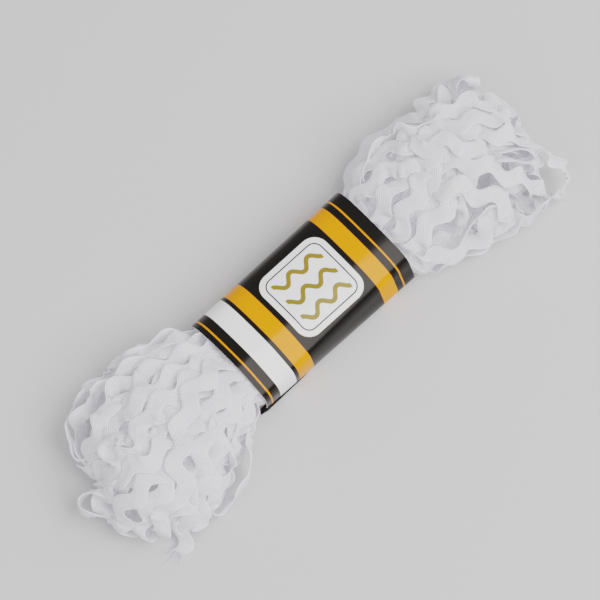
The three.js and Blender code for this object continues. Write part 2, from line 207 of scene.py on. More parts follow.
LEFT_STRANDS = [
    (1, "flat", [(200, 337, 4, 0), (184, 341, 1, 0), (168, 345, 0, 0), (152, 350, 0, 0), (137, 358, 0, 5),
        (121, 367, 0, 10), (106, 379, 1, 15), (92, 392, 3, 20)]),
    (0, "open", [(198, 338, 6, 60), (180, 335, 3, 80), (158, 342, 1, 88), (135, 357, 0, 90),
        (113, 372, 0, 90), (92, 390, 0, 90), (75, 407, 0, 90), (68, 424, 0, 90), (72, 442, 1, 85),
        (80, 458, 3, 70)]),
    (0, "open", [(202, 344, 4, 45), (180, 346, 2, 65), (156, 353, 1, 75), (132, 367, 1, 80),
        (112, 381, 1, 80), (95, 397, 1, 80), (83, 414, 1, 80), (79, 434, 1, 70), (84, 455, 1, 50),
        (98, 472, 2, 30)]),
    (0, "flat", [(206, 350, 1, 20), (190, 354, 1, 20), (170, 363, 1, 20), (150, 373, 1, 15),
        (130, 381, 0, 5), (113, 393, 0, 0), (108, 412, 0, 0), (100, 430, 0, 0), (91, 447, 0, 0),
        (93, 466, 1, 10)]),
    (0, "flat", [(210, 352, 2, 10), (196, 364, 1, 0), (180, 374, 1, 0), (162, 384, 1, 0), (148, 396, 1, 0),
        (132, 406, 1, 0), (120, 418, 2, 0), (110, 434, 3, 0)]),
    (0, "flat", [(218, 360, 1, 0), (204, 370, 1, 0), (190, 380, 0, 0), (176, 394, 0, 0), (160, 406, 0, 0),
        (144, 414, 0, 0), (142, 432, 0, 0), (138, 450, 0, 0), (122, 459, 1, 0), (108, 466, 3, 0)]),
    (0, "flat", [(222, 364, 0, 0), (208, 374, 0, 0), (196, 388, 0, 0), (187, 404, 0, 0), (184, 422, 0, 0),
        (181, 436, 0, 0)]),
    (0, "flat", [(232, 374, 0, 0), (222, 388, 0, 0), (214, 404, 0, 0), (211, 420, 0, 0), (206, 436, 0, 0),
        (204, 452, 0, 0), (198, 470, 1, 0), (194, 490, 2, 0)]),
    (0, "flat", [(242, 386, 1, 0), (236, 402, 0, 0), (226, 416, 0, 0), (220, 430, 0, 0), (216, 446, 0, 0),
        (212, 462, 0, 0), (206, 478, 1, 10), (202, 496, 2, 20)]),
    (0, "flat", [(251, 398, 1, 10), (246, 412, 1, 20), (238, 426, 1, 25), (231, 440, 1, 30),
        (225, 456, 1, 35), (219, 472, 1, 35), (213, 488, 2, 40)]),
    (0, "open", [(258, 408, 3, 60), (252, 426, 1, 80), (247, 440, 0, 90), (252, 456, 0, 90),
        (250, 474, 0, 90), (241, 490, 0, 90), (228, 504, 1, 80), (212, 514, 3, 60)]),
    (1, "open", [(240, 420, 5, 40), (234, 436, 1, 70), (230, 450, 0, 80), (231, 464, 0, 85),
        (227, 480, 0, 85), (216, 496, 1, 70), (202, 508, 3, 40)]),
    (1, "flat", [(226, 450, 5, 0), (215, 464, 2, 0), (208, 480, 0, 0), (201, 497, 0, 0), (199, 513, 0, 0),
        (194, 528, 1, 25)]),
    (1, "flat", [(190, 424, 6, 0), (172, 440, 2, 0), (156, 454, 0, 0), (140, 466, 0, 0), (122, 476, 0, 0),
        (106, 482, 0, 5), (101, 497, 0, 20), (108, 510, 1, 40)]),
    (1, "flat", [(160, 430, 5, 0), (142, 440, 2, 0), (124, 436, 1, 0), (110, 437, 0, 0), (112, 452, 0, 0),
        (119, 466, 1, 0)]),
    (1, "flat", [(176, 460, 5, 0), (158, 474, 1, 0), (144, 487, 0, 0), (130, 499, 0, 0), (120, 512, 0, 0),
        (121, 523, 2, 20)]),
    (1, "flat", [(186, 466, 5, 0), (168, 482, 1, 0), (156, 498, 0, 0), (146, 511, 0, 0),
        (147, 522, 2, 10)]),
    (2, "flat", [(190, 480, 6, 0), (176, 492, 1, 0), (166, 506, 0, 0), (165, 520, 1, 20)]),
    (2, "open", [(130, 480, 6, 30), (112, 490, 2, 70), (94, 491, 0, 90), (80, 499, 0, 90), (82, 511, 0, 90),
        (96, 514, 1, 85), (112, 512, 3, 50)]),
]

# The strand that runs on past its last pixel as the loose end, and that end's route down to the table in
# the hank's own frame.
LOOSE_STRAND = 6
LOOSE_END = [
    (-76.6, -14.7, 26.6), (-79, -17.9, 25.4), (-81.6, -21.5, 23.4), (-84.2, -25.2, 20), (-86, -27.9, 16),
    (-87.9, -29.8, 11.4), (-90.2, -31.2, 6.4), (-93, -32.5, 2.4), (-96.4, -34.3, 1.2),
]

# The two sides: the band's mouth and the direction outwards.
MOUTH = {"right": BAND_RIGHT, "left": BAND_LEFT}
SIGN = {"right": 1, "left": -1}
UP, DOWN = np.array([0, 0, 1.0]), np.array([0, 0, -1.0])

# How the waist's section is crossed: the middle of the band's opening, how far a strand keeps from it, how
# much the lanes crowd together, how their arch falls at the sides, and how high each layer and form lies.
WAIST_MIDDLE = np.array([0.5, 9.6])
WAIST_HALF = np.array([18.0, 8.0])
FAN_HALF = 24.0
LANE_CROWD, LANE_ROUND, RISE_LEAST = 0.74, 0.82, 0.05
LAYER_SHARE = (0.86, 0.5, 0.2)
OPEN_RISE, OPEN_FALL, INNER_RISE = 0.35, 0.4, 0.35
WAY_OUT, WAY_BACK = (9, 2), (2, 9)

# The part of a flat loop that isn't seen: how far inside the rim it ends and how much further for each
# layer, the length past which it gets two more stops, how those two lie, how it turns down and how it
# goes back below. Then the share of the way back at which an open loop has a stop.
RIM_INSET, LAYER_INSET = 2, 3
RIM_FAR, HIDDEN_SHARE = 12, 0.8
TURN_BEFORE, TURN_NARROW, TURN_SHARE, TURN_LIFT = 6, 0.95, 0.6, 2
ROUND_MOST, ROUND_SHARE, ROUND_OUT, ROUND_TILT = 5.0, 0.5, 0.8, 0.5
ROUND_PLACES = ((0.28, UP), (0.72, DOWN))
UNDERSIDE = (1.0, 3.6, 6.5)
UNDER_IN, UNDER_PARTS = 0.6, (0.35, 0.7)
OPEN_PARTS = (0.3, 0.65)

# How firmly the stops stay where they are while the braid settles.
UNSEEN_HOLD, LOOSE_HOLD = 0.01, 0.5
SHOWN_HOLD = {"flat": 0.07, "open": 0.16}

# Where rays towards the hank start, and what is taken where they miss it.
RAY_ASIDE, RAY_ABOVE = 160, 100
USUAL_RIM, USUAL_HEIGHT = 80.0, 8.0


def rim(sign, y):
    """How far the fan on that side reaches at y, at the height of its widest line."""
    start = to_frame((sign * RAY_ASIDE, y, RIM_HEIGHT))
    place, _, _, _ = hull.ray_cast(start, Vector((-sign, 0, 0)))
    return sign * USUAL_RIM if place is None else from_frame(place).x


def stop(point, normal, roll, hold=UNSEEN_HOLD):
    """A place on a strand: where, the tape's upward direction, its roll and how firmly it stays there."""
    return np.array([*point, *normal, math.radians(roll), hold])


def in_band(side, place, up, depths):
    """Stops inside the band at these depths from its mouth, with their y and z."""
    return [stop((MOUTH[side] - SIGN[side] * depth, *place), up, 0) for depth in depths]


def waist_places(lane, *heights):
    """The y and z in the band's opening for a lane and each of these shares of its height."""
    return [WAIST_MIDDLE + WAIST_HALF * np.array([LANE_CROWD * lane, height]) for height in heights]


def way_under(last, side, layer, back):
    """The unseen rest of a flat loop: on to the fan's rim, round it and back below the fan."""
    sign, mouth, low = SIGN[side], MOUTH[side], UNDERSIDE[layer]
    stops = []
    edge = rim(sign, last[1]) - sign * (RIM_INSET + LAYER_INSET * layer)
    if sign * (edge - last[0]) > RIM_FAR:
        hidden = (0.5 * (edge + last[0]), last[1], HIDDEN_SHARE * last[2])
        stops.append(stop(hidden, UP, 0))
        turn = (edge - sign * TURN_BEFORE, last[1] * TURN_NARROW, TURN_SHARE * last[2] + TURN_LIFT)
        last = stop(turn, UP, 0)
        stops.append(last)
    height = last[2] - low
    ahead = np.array([sign * min(ROUND_MOST, ROUND_SHARE * height), 0, 0])
    out = np.array([sign, 0, 0.0])
    for part, way in ROUND_PLACES:
        place = last[:3] + ROUND_OUT * ahead + part * height * DOWN
        stops.append(stop(place, out + ROUND_TILT * way, 0))
    under = last[:3] - UNDER_IN * ahead
    stops.append(stop((under[0], under[1], low), DOWN, 0))
    for part in UNDER_PARTS:
        x = under[0] + part * (mouth - under[0])
        y = under[1] + part * (back[0] - under[1])
        stops.append(stop((x, y, low), DOWN, 0))
    return stops + in_band(side, back, DOWN, WAY_BACK)


def way_back(last, side, back):
    """The unseen rest of an open loop: straight back into the band."""
    goal = np.array([MOUTH[side], *back])
    stops = []
    for part in OPEN_PARTS:
        place = last[:3] + part * (goal - last[:3])
        stops.append(stop(place, UP, (1 - part) * math.degrees(last[6])))
    return stops + in_band(side, back, UP, WAY_BACK)


def loop_stops(strand, side):
    """The stops of one loop of braid, from the band out, round its end and back into the band."""
    layer, form, seen = strand
    shown = []
    for u, v, sink, roll in seen:
        place, normal = on_hull(u, v, sink)
        normal = normal + UP
        shown.append(stop(place, normal / np.linalg.norm(normal), roll, SHOWN_HOLD[form]))
    first, last = shown[0], shown[-1]
    lane = np.clip((first[1] - WAIST_MIDDLE[0]) / FAN_HALF, -1, 1)
    rise = LAYER_SHARE[layer] * math.sqrt(max(RISE_LEAST, 1 - (LANE_ROUND * lane) ** 2))
    heights = (rise, -rise) if form == "flat" else (OPEN_RISE * rise, -OPEN_FALL)
    slot, back = waist_places(lane, *heights)
    stops = in_band(side, slot, UP, WAY_OUT)
    if layer:
        middle = (slot + first[1:3]) / 2
        stops.append(stop(((MOUTH[side] + first[0]) / 2, *middle), UP, 0))
    rest = way_under(last, side, layer, back) if form == "flat" else way_back(last, side, back)
    return np.array(stops + shown + rest)


# Loops that the picture hardly shows, which fill each fan from inside: the lane from -1 at the front to 1 at
# the back, the share of the fan's length that it reaches, and its depth below the hank's surface.
INNER_LOOPS = [
    (-0.8, 0.8, 2.4), (-0.5, 0.8, 3.0), (-0.18, 0.82, 2.4), (0.16, 0.88, 3.0), (0.48, 0.94, 2.4),
    (0.8, 0.86, 2.8),
]
INNER_STOPS = 5

# How such a loop runs: where across the fan its reach is read, how its lane spreads and closes again along
# the fan, how it sways, and how high its upper and its lower half lie at least.
REACH_LANE = 14
SPREAD_START, SPREAD_GROWTH, SPREAD_CLOSE, SPREAD = 0.7, 0.5, 0.25, 0.8
INNER_SWAY, SWAY_ALONG, SWAY_ACROSS = 2.4, 4, 9
UPPER_LEAST = 0.45
LOWER_NARROW, LOWER_SHIFT, LOWER_SHARE, LOWER_LEAST = 0.9, 2, 0.25, 2.4
INNER_TURN, INNER_DROP = 3.5, 0.45


def surface_height(x, y):
    """The height of the hank's surface above that place."""
    place, _, _, _ = hull.ray_cast(to_frame((x, y, RAY_ABOVE)), Vector(DOWN))
    return USUAL_HEIGHT if place is None else from_frame(place).z


def inner_stops(loop, side):
    """The stops of one of the loops inside a fan, from the band out and back below."""
    lane, share, depth = loop
    sign, mouth = SIGN[side], MOUTH[side]
    far = mouth + share * (rim(sign, lane * REACH_LANE) - mouth)
    above, below = [], []
    for i in range(1, INNER_STOPS + 1):
        part = i / INNER_STOPS
        x = mouth + part * (far - mouth)
        spread = min(1.0, SPREAD_START + SPREAD_GROWTH * part) * (1 - SPREAD_CLOSE * part**3)
        sway = INNER_SWAY * math.sin(SWAY_ALONG * part + SWAY_ACROSS * lane)
        y = lane * FAN_HALF * SPREAD * spread + sway
        top = surface_height(x, y)
        above.append(stop((x, y, max(top - depth, UPPER_LEAST * top)), UP, 0))
        lower = (x, LOWER_NARROW * y - LOWER_SHIFT, max(LOWER_SHARE * top, LOWER_LEAST))
        below.append(stop(lower, DOWN, 0))
    out = np.array([sign, 0, 0.0])
    end = above[-1][:3]
    turn = end + np.array([sign * INNER_TURN, 0, -INNER_DROP * (end[2] - below[-1][2])])
    slot, back = waist_places(lane, INNER_RISE, -INNER_RISE)
    start, finish = in_band(side, slot, UP, WAY_OUT), in_band(side, back, DOWN, WAY_BACK)
    return np.array([*start, *above[1:], stop(turn, out, 0), *below[:0:-1], *finish])


CURVE_STEPS = 12  # points of a curve for each of its stops


def curve_part(a, b, c, d, share):
    """The Catmull-Rom curve at a share of the way from b to c, where a comes before them and d after."""
    return 0.5 * (2 * b + (c - a) * share + (2 * a - 5 * b + 4 * c - d) * share**2
                  + (3 * b - a - 3 * c + d) * share**3)


def curve_through(stops, steps=CURVE_STEPS):
    """The curve through the stops, every column alike."""
    padded = np.vstack([2 * stops[0] - stops[1], stops, 2 * stops[-1] - stops[-2]])
    share = (np.arange(steps) / steps)[:, None]
    found = [curve_part(*near, share) for near in zip(padded, padded[1:], padded[2:], padded[3:])]
    return np.vstack([*found, stops[-1:]])


def unit(vectors):
    """The vectors brought to length 1."""
    return vectors / np.maximum(np.linalg.norm(vectors, axis=-1, keepdims=True), 1e-9)


def run_of(points):
    """The length of the line through the points, from the first to each of them."""
    return np.concatenate([[0], np.cumsum(np.linalg.norm(np.diff(points, axis=0), axis=1))])


def framed(stops):
    """The curve through the stops: its points, the direction across the tape and how firmly each stays."""
    curve = curve_through(stops)
    along = unit(np.gradient(curve[:, :3], axis=0))
    across = unit(np.cross(along, curve[:, 3:6]))
    lifted = np.cross(across, along)
    roll = curve[:, 6:7]
    return curve[:, :3], across * np.cos(roll) + lifted * np.sin(roll), curve[:, 7:8]


def loose_stops():
    """The loose end's stops, from its cut end up over the fan."""
    route = np.array(LOOSE_END[::-1])
    along = unit(np.gradient(route, axis=0))
    upward = unit(np.cross(along, np.cross(UP, along)))
    return [stop(place, normal, 0, LOOSE_HOLD) for place, normal in zip(route, upward)]


def whole_path():
    """The middle line of the whole braid from its cut end, turn after turn, and what goes with it."""
    rights = [framed(loop_stops(strand, "right")) for strand in RIGHT_STRANDS]
    whole = [strand for i, strand in enumerate(LEFT_STRANDS) if i != LOOSE_STRAND]
    lefts = [framed(loop_stops(strand, "left")) for strand in whole]
    rights += [framed(inner_stops(loop, "right")) for loop in INNER_LOOPS]
    lefts += [framed(inner_stops(loop, "left")) for loop in INNER_LOOPS]
    rights.sort(key=lambda loop: -loop[0][0, 1])
    lefts.sort(key=lambda loop: -loop[0][0, 1])
    shown = len(LEFT_STRANDS[LOOSE_STRAND][2])
    lead = loop_stops(LEFT_STRANDS[LOOSE_STRAND], "left")[:shown + len(WAY_OUT)]
    first = framed(np.array([*loose_stops(), *lead[::-1]]))
    parts = [first]
    for right, left in zip(rights, lefts + [None]):
        parts.append(right)
        if left is not None:
            parts.append(tuple(column[::-1] for column in left))
    joined = []
    for place, across, hold in parts:
        if joined and np.dot(joined[-1][1][-1], across[0]) < 0:
            across = -across
        joined.append((place, across, hold))
    return [np.vstack(column) for column in zip(*joined)]


def at_lengths(values, run, wanted):
    """Each column of the values, known at the lengths of the run, at the wanted lengths."""
    return np.stack([np.interp(wanted, run, values[:, i]) for i in range(values.shape[1])], 1)


def flat_pattern(count):
    """The braid laid out flat: the points of each row from its left edge to its right one, in a plane."""
    s = np.arange(count) * ROW_STEP
    turn = 2 * math.pi * s / WAVE_LENGTH
    middle = np.stack([s, WAVE_SWING * np.sin(turn)], 1)
    slope = WAVE_SWING * 2 * math.pi / WAVE_LENGTH * np.cos(turn)
    across = unit(np.stack([-EDGE_TURN * slope, np.ones(count)], 1)) * TAPE_WIDTH / 2
    return middle[:, None] + np.linspace(-1, 1, COLUMNS)[None, :, None] * across[:, None]


def first_rows():
    """The rows of the whole braid on its path before it has settled, flat, and how firmly each stays."""
    places, acrosses, holds = whole_path()
    run = run_of(places)
    count = int(run[-1] / ROW_STEP)
    wanted = np.arange(count) * ROW_STEP
    middle = at_lengths(places, run, wanted)
    across = unit(at_lengths(acrosses, run, wanted))
    along = unit(np.gradient(middle, axis=0))
    flat = flat_pattern(count)
    offset = flat - np.stack([wanted, np.zeros(count)], 1)[:, None]
    rows = middle[:, None] + offset[..., :1] * along[:, None] + offset[..., 1:] * across[:, None]
    return rows, flat, at_lengths(holds, run, wanted)


# How the braid settles. First its rounds, and after how many of them near points are looked up again and
# points are drawn back into the hank's form.
ROUNDS, PAIR_EVERY, HULL_EVERY = 220, 6, 8

# The distance that points of two tapes keep in the fans and in the band, and where one changes to the other.
LOOSE_DISTANCE, TIGHT_DISTANCE = 1.6, 1.0
LOOSE_BEFORE, LOOSE_AFTER = 2, 14.0

# How much further near points are looked for, and the rows along one tape that never push each other.
PAIR_MARGIN, NEAR_ROWS = 0.7, 6

# How firmly points are pushed apart, and how firmly a tape resists a change of width, shear and bends, each
# bend with its reach in rows.
PUSH, ACROSS, SHEAR = 0.3, 0.8, 0.7
BENDS = ((3, 0.25), (6, 0.05))

# The room that the middle of a tape keeps from the band and from the table, how far past its ends the band
# and the fans act, and how far a point may leave the hank's form and how firmly it is drawn back.
TAPE_ROOM, TABLE_ROOM = 1.3, 0.75
BAND_PAST, FAN_PAST = 1, 2
HULL_SLACK, HULL_PULL = 0.4, 0.5


def pull_together(points, first, second, rest, stiffness):
    """Moves two sets of points so that each pair comes closer to its rest length."""
    gap = points[second] - points[first]
    length = np.maximum(np.linalg.norm(gap, axis=1, keepdims=True), 1e-6)
    move = 0.5 * stiffness * (1 - rest[:, None] / length) * gap
    points[first] += move
    points[second] -= move


def ties(count, flat):
    """Groups of point pairs that share no point within a group, with their rest lengths and stiffness."""
    rows = np.arange(count)
    groups = []

    def group(rows_a, side_a, rows_b, side_b, stiffness):
        keep = rows_b < count
        a, b = rows_a[keep], rows_b[keep]
        rest = np.linalg.norm(flat[b, side_b] - flat[a, side_a], axis=1)
        groups.append((a * COLUMNS + side_a, b * COLUMNS + side_b, rest, stiffness))

    for side in range(LAST):
        group(rows, side, rows, side + 1, 1.0)
    for side_a, side_b in ((0, MIDDLE), (MIDDLE, LAST), (0, LAST)):
        group(rows, side_a, rows, side_b, ACROSS)
    slants = ((0, MIDDLE), (MIDDLE, 0), (MIDDLE, LAST), (LAST, MIDDLE), (1, LAST - 1), (LAST - 1, 1))
    for start in (0, 1):
        for side in range(COLUMNS):
            group(rows[start::2], side, rows[start::2] + 1, side, 1.0)
        for side_a, side_b in slants:
            group(rows[start::2], side_a, rows[start::2] + 1, side_b, SHEAR)
    for side in (0, MIDDLE, LAST):
        for reach, stiffness in BENDS:
            for start in range(2 * reach):
                picked = rows[start::2 * reach]
                group(picked, side, picked + reach, side, stiffness)
    return groups


def near_pairs(points, reach):
    """Pairs of points within reach of each other whose rows lie apart along the braid."""
    cell = np.floor((points - points.min(0)) / reach).astype(np.int64) + 1
    size = cell.max(0) + 2
    key = (cell[:, 0] * size[1] + cell[:, 1]) * size[2] + cell[:, 2]
    order = np.argsort(key, kind="stable")
    keys = key[order]
    row = np.arange(len(points)) // COLUMNS
    firsts, seconds = [], []
    for step in itertools.product((-1, 0, 1), repeat=3):
        shift = (step[0] * size[1] + step[1]) * size[2] + step[2]
        if shift < 0:
            continue
        low = np.searchsorted(keys, key + shift, "left")
        count = np.searchsorted(keys, key + shift, "right") - low
        before = np.cumsum(count) - count
        first = np.repeat(np.arange(len(points)), count)
        second = order[np.repeat(low - before, count) + np.arange(len(first))]
        gap = points[second] - points[first]
        keep = ((gap**2).sum(1) < reach * reach) & (np.abs(row[second] - row[first]) > NEAR_ROWS)
        if shift == 0:
            keep &= second > first
        firsts.append(first[keep])
        seconds.append(second[keep])
    return np.concatenate(firsts), np.concatenate(seconds)


def keep_distance(x):
    """The distance that tapes keep at x: tight inside the band, loose in the fans."""
    past = np.maximum(x - BAND_RIGHT, BAND_LEFT - x)
    share = np.clip((past + LOOSE_BEFORE) / LOOSE_AFTER, 0, 1)
    return TIGHT_DISTANCE + (LOOSE_DISTANCE - TIGHT_DISTANCE) * share


def push_apart(points, first, second):
    """Moves apart each pair of points that is closer than tapes keep."""
    gap = points[second] - points[first]
    length = np.maximum(np.linalg.norm(gap, axis=1), 1e-4)
    wanted = keep_distance(points[first, 0])
    short = np.maximum(wanted - length, 0)
    move = (PUSH * short / length)[:, None] * gap
    for axis in range(3):
        points[:, axis] += np.bincount(second, move[:, axis], len(points))
        points[:, axis] -= np.bincount(first, move[:, axis], len(points))


def outline_curve(columns, fine):
    """The band's closed outline at one end, as many smooth points of y and z."""
    corners = np.array(BAND_OUTLINE)[:, columns]
    share = (np.arange(fine) / fine)[:, None, None]
    b = corners[None]
    a, c, d = (np.roll(b, -shift, axis=1) for shift in (-1, 1, 2))
    return curve_part(a, b, c, d, share).transpose(1, 0, 2).reshape(-1, 2)


def reach_of(outline, angle):
    """How far the outline is from the waist's middle in the given directions."""
    offset = outline - WAIST_MIDDLE
    angles = np.arctan2(offset[:, 1], offset[:, 0])
    return np.interp(angle, angles, np.linalg.norm(offset, axis=1), period=2 * math.pi)


OUTLINE_FINE = 12
left_outline = outline_curve([0, 1], OUTLINE_FINE)
right_outline = outline_curve([2, 3], OUTLINE_FINE)


def inside_band(points):
    """Keeps the points between the band's ends inside its opening."""
    x = points[:, 0] + LEAN * points[:, 2]
    within = (x > BAND_LEFT - BAND_PAST) & (x < BAND_RIGHT + BAND_PAST)
    share = np.clip((x - BAND_LEFT) / (BAND_RIGHT - BAND_LEFT), 0, 1)
    offset = points[:, 1:] - WAIST_MIDDLE
    angle = np.arctan2(offset[:, 1], offset[:, 0])
    reach = (1 - share) * reach_of(left_outline, angle) + share * reach_of(right_outline, angle)
    reach -= TAPE_ROOM
    size = np.linalg.norm(offset, axis=1)
    out = within & (size > reach)
    points[out, 1:] = WAIST_MIDDLE + offset[out] * (reach / size)[out, None]


def inside_hull(points):
    """Draws points back that have left the hank's solid."""
    in_fans = (points[:, 0] < BAND_LEFT - FAN_PAST) | (points[:, 0] > BAND_RIGHT + FAN_PAST)
    for i in np.nonzero(in_fans)[0]:
        place, normal, _, _ = hull.find_nearest(to_frame(points[i]))
        gap = Vector(points[i]) - from_frame(place)
        if gap.dot(normal) > HULL_SLACK:
            points[i] -= HULL_PULL * (gap.length - HULL_SLACK) * np.array(gap.normalized())


def settle(rows, flat, holds):
    """Lets the braid come to rest: tapes keep their shape, stay apart and lie inside the hank's form."""
    start = rows.reshape(-1, 3).copy()
    points = start.copy()
    groups = ties(len(rows), flat)
    hold = np.repeat(holds, COLUMNS, axis=0)
    for turn in range(ROUNDS):
        if turn % PAIR_EVERY == 0:
            first, second = near_pairs(points, LOOSE_DISTANCE + PAIR_MARGIN)
        push_apart(points, first, second)
        if turn % HULL_EVERY == HULL_EVERY - 1:
            inside_hull(points)
        points += hold * (start - points)
        for a, b, rest, stiffness in groups:
            pull_together(points, a, b, rest, stiffness)
        inside_band(points)
        points[:, 2] = np.maximum(points[:, 2], TABLE_ROOM)
    return points.reshape(-1, COLUMNS, 3)


# How finely a tape's mesh follows the settled net: steps for each row in the fans and inside the band, how
# far inside it that starts, and steps for each column. Then how its section thins and rounds at its edges.
FINE_PER_ROW, BAND_FINE, HIDDEN_INSET = 2, 1, 6
SECTION_FINE = 2
EDGE_THINNING, EDGE_ROUND = 0.4, TAPE_THICKNESS / 4


def fine_rows(rows):
    """The settled rows with smooth rows put between them, fewer where the band hides them."""
    padded = np.vstack([rows[:1], rows, rows[-1:]])
    found = []
    for near in zip(padded, padded[1:], padded[2:], padded[3:]):
        hidden = BAND_LEFT + HIDDEN_INSET < near[1][0, 0] < BAND_RIGHT - HIDDEN_INSET
        steps = BAND_FINE if hidden else FINE_PER_ROW
        found += [curve_part(*near, share) for share in np.arange(steps) / steps]
    return np.array(found)


def tape_mesh(name, rows):
    """A tape of braid through the given rows of points."""
    weights = curve_through(np.eye(COLUMNS), SECTION_FINE)
    line = np.einsum("sc,rcd->rsd", weights, rows)
    normal = unit(np.cross(np.gradient(line, axis=0), np.gradient(line, axis=1)))
    across = np.linspace(-1, 1, len(weights))
    body = (TAPE_THICKNESS / 2 * (1 - EDGE_THINNING * across**4))[None, :, None] * normal
    right = line[:, -1] + unit(line[:, -1] - line[:, -2]) * EDGE_ROUND
    left = line[:, 0] + unit(line[:, 0] - line[:, 1]) * EDGE_ROUND
    vertices = np.concatenate([line + body, right[:, None], (line - body)[:, ::-1], left[:, None]], 1)
    q = np.concatenate([across, [1], across[::-1], [-1]])
    count, size = vertices.shape[:2]
    ring = np.arange(size)
    base = np.arange(count - 1)[:, None] * size
    quads = np.stack([base + ring, base + (ring + 1) % size,
                      base + size + (ring + 1) % size, base + size + ring], -1).reshape(-1, 4)
    ends = [list(ring), list((count - 1) * size + ring[::-1])]
    run = run_of(rows[:, MIDDLE])
    lay = np.stack(np.broadcast_arrays(run[:, None], q[None] * TAPE_WIDTH / 2, 0 * q[None]), -1)
    piece = mesh_object(name, vertices.reshape(-1, 3), quads[:, ::-1], ends)
    note_places(piece, "lay", lay.reshape(-1, 3))
    return piece


def mesh_object(name, points, quads, caps=()):
    """A smooth mesh from points in the hank's own frame, joined by four-sided faces and end caps."""
    mesh = bpy.data.meshes.new(name)
    places = np.asarray(points) * MM + np.array(OFFSET)
    faces = [*np.asarray(quads).tolist(), *(list(map(int, cap)) for cap in caps)]
    mesh.from_pydata(places.tolist(), [], faces)
    mesh.polygons.foreach_set("use_smooth", [True] * len(mesh.polygons))
    mesh.update()
    return add_object(name, mesh)


# The cut end: how it narrows over its first rows, and its loose threads, with the directions of the
# corners of their section, in radians, and the row towards which they point away.
END_ROWS, END_SHARE = 5, 0.72
THREADS, THREAD_STEPS, THREAD_SEED = 60, 5, 3
THREAD_SHORT, THREAD_LONG, THREAD_RADIUS = 1.5, 6.0, 0.1
THREAD_SPREAD, THREAD_STRAY, THREAD_BEND, THREAD_TAPER = 0.9, 0.22, 0.3, 0.6
THREAD_CORNERS = (0.5, 2.6, 4.7)
THREAD_ROW = 3


def narrowed(rows):
    """The rows with the first ones drawn together towards the cut end."""
    rows = rows.copy()
    for i in range(END_ROWS):
        share = END_SHARE + (1 - END_SHARE) * i / END_ROWS
        middle = rows[i, MIDDLE]
        rows[i] = middle + share * (rows[i] - middle)
    return rows


def make_threads(rows):
    """The loose threads at the cut end as one mesh of thin bent needles."""
    chance = np.random.default_rng(THREAD_SEED)
    left, right = rows[0, 0], rows[0, -1]
    ahead = unit(rows[0].mean(0) - rows[THREAD_ROW].mean(0))
    side = unit(right - left)
    corners = [side * math.cos(turn) + UP * math.sin(turn) for turn in THREAD_CORNERS]
    size = len(corners)
    points, quads = [], []
    for _ in range(THREADS):
        share = chance.uniform()
        way = ahead + THREAD_SPREAD * (share - 0.5) * side + chance.normal(0, THREAD_STRAY, 3)
        bend = chance.normal(0, THREAD_BEND, 3)
        length = chance.uniform(THREAD_SHORT, THREAD_LONG)
        first = len(points)
        for step in range(THREAD_STEPS + 1):
            part = step / THREAD_STEPS
            place = left + share * (right - left) - ahead + length * part * (way + part * bend)
            place[2] = max(place[2], 2 * THREAD_RADIUS)
            points += [place + THREAD_RADIUS * (1 - THREAD_TAPER * part) * corner for corner in corners]
        for step in range(THREAD_STEPS):
            base = first + size * step
            for i in range(size):
                after = (i + 1) % size
                quads.append((base + i, base + after, base + size + after, base + size + i))
    return mesh_object("loose_threads", points, quads)


def note_places(piece, name, values):
    """Stores each point's place on the flat material, in millimetres, for the shaders."""
    attribute = piece.data.attributes.new(name, "FLOAT_VECTOR", "POINT")
    attribute.data.foreach_set("vector", np.asarray(values, dtype=np.float32).ravel())


JOIN_ROWS = 2  # the rows that a piece of braid shares with the next one


def make_hank():
    """The braid in pieces: the loose end, its threads, then each turn. Also the loose end's line."""
    rows, flat, holds = first_rows()
    rows = settle(rows, flat, holds)
    loose_rows = int(np.argmin(holds[:, 0] > 0.5 * (LOOSE_HOLD + SHOWN_HOLD["flat"])))
    turns = len(RIGHT_STRANDS) + len(INNER_LOOPS)
    bounds = np.linspace(loose_rows, len(rows), turns + 1).astype(int)
    rows = narrowed(rows)
    loose = rows[:loose_rows + JOIN_ROWS]
    pieces = [tape_mesh("loose_braid", fine_rows(loose)), make_threads(rows)]
    for turn, (start, end) in enumerate(zip(bounds, bounds[1:])):
        pieces.append(tape_mesh(f"turn_{turn + 1:02d}", fine_rows(rows[start:end + JOIN_ROWS])))
    return pieces, [to_frame(row[MIDDLE]) for row in loose]


BAND_COLUMNS = 60
BAND_SHARP, TONGUE_SHARP = 40, 30  # degrees from which an edge of paper is sharp


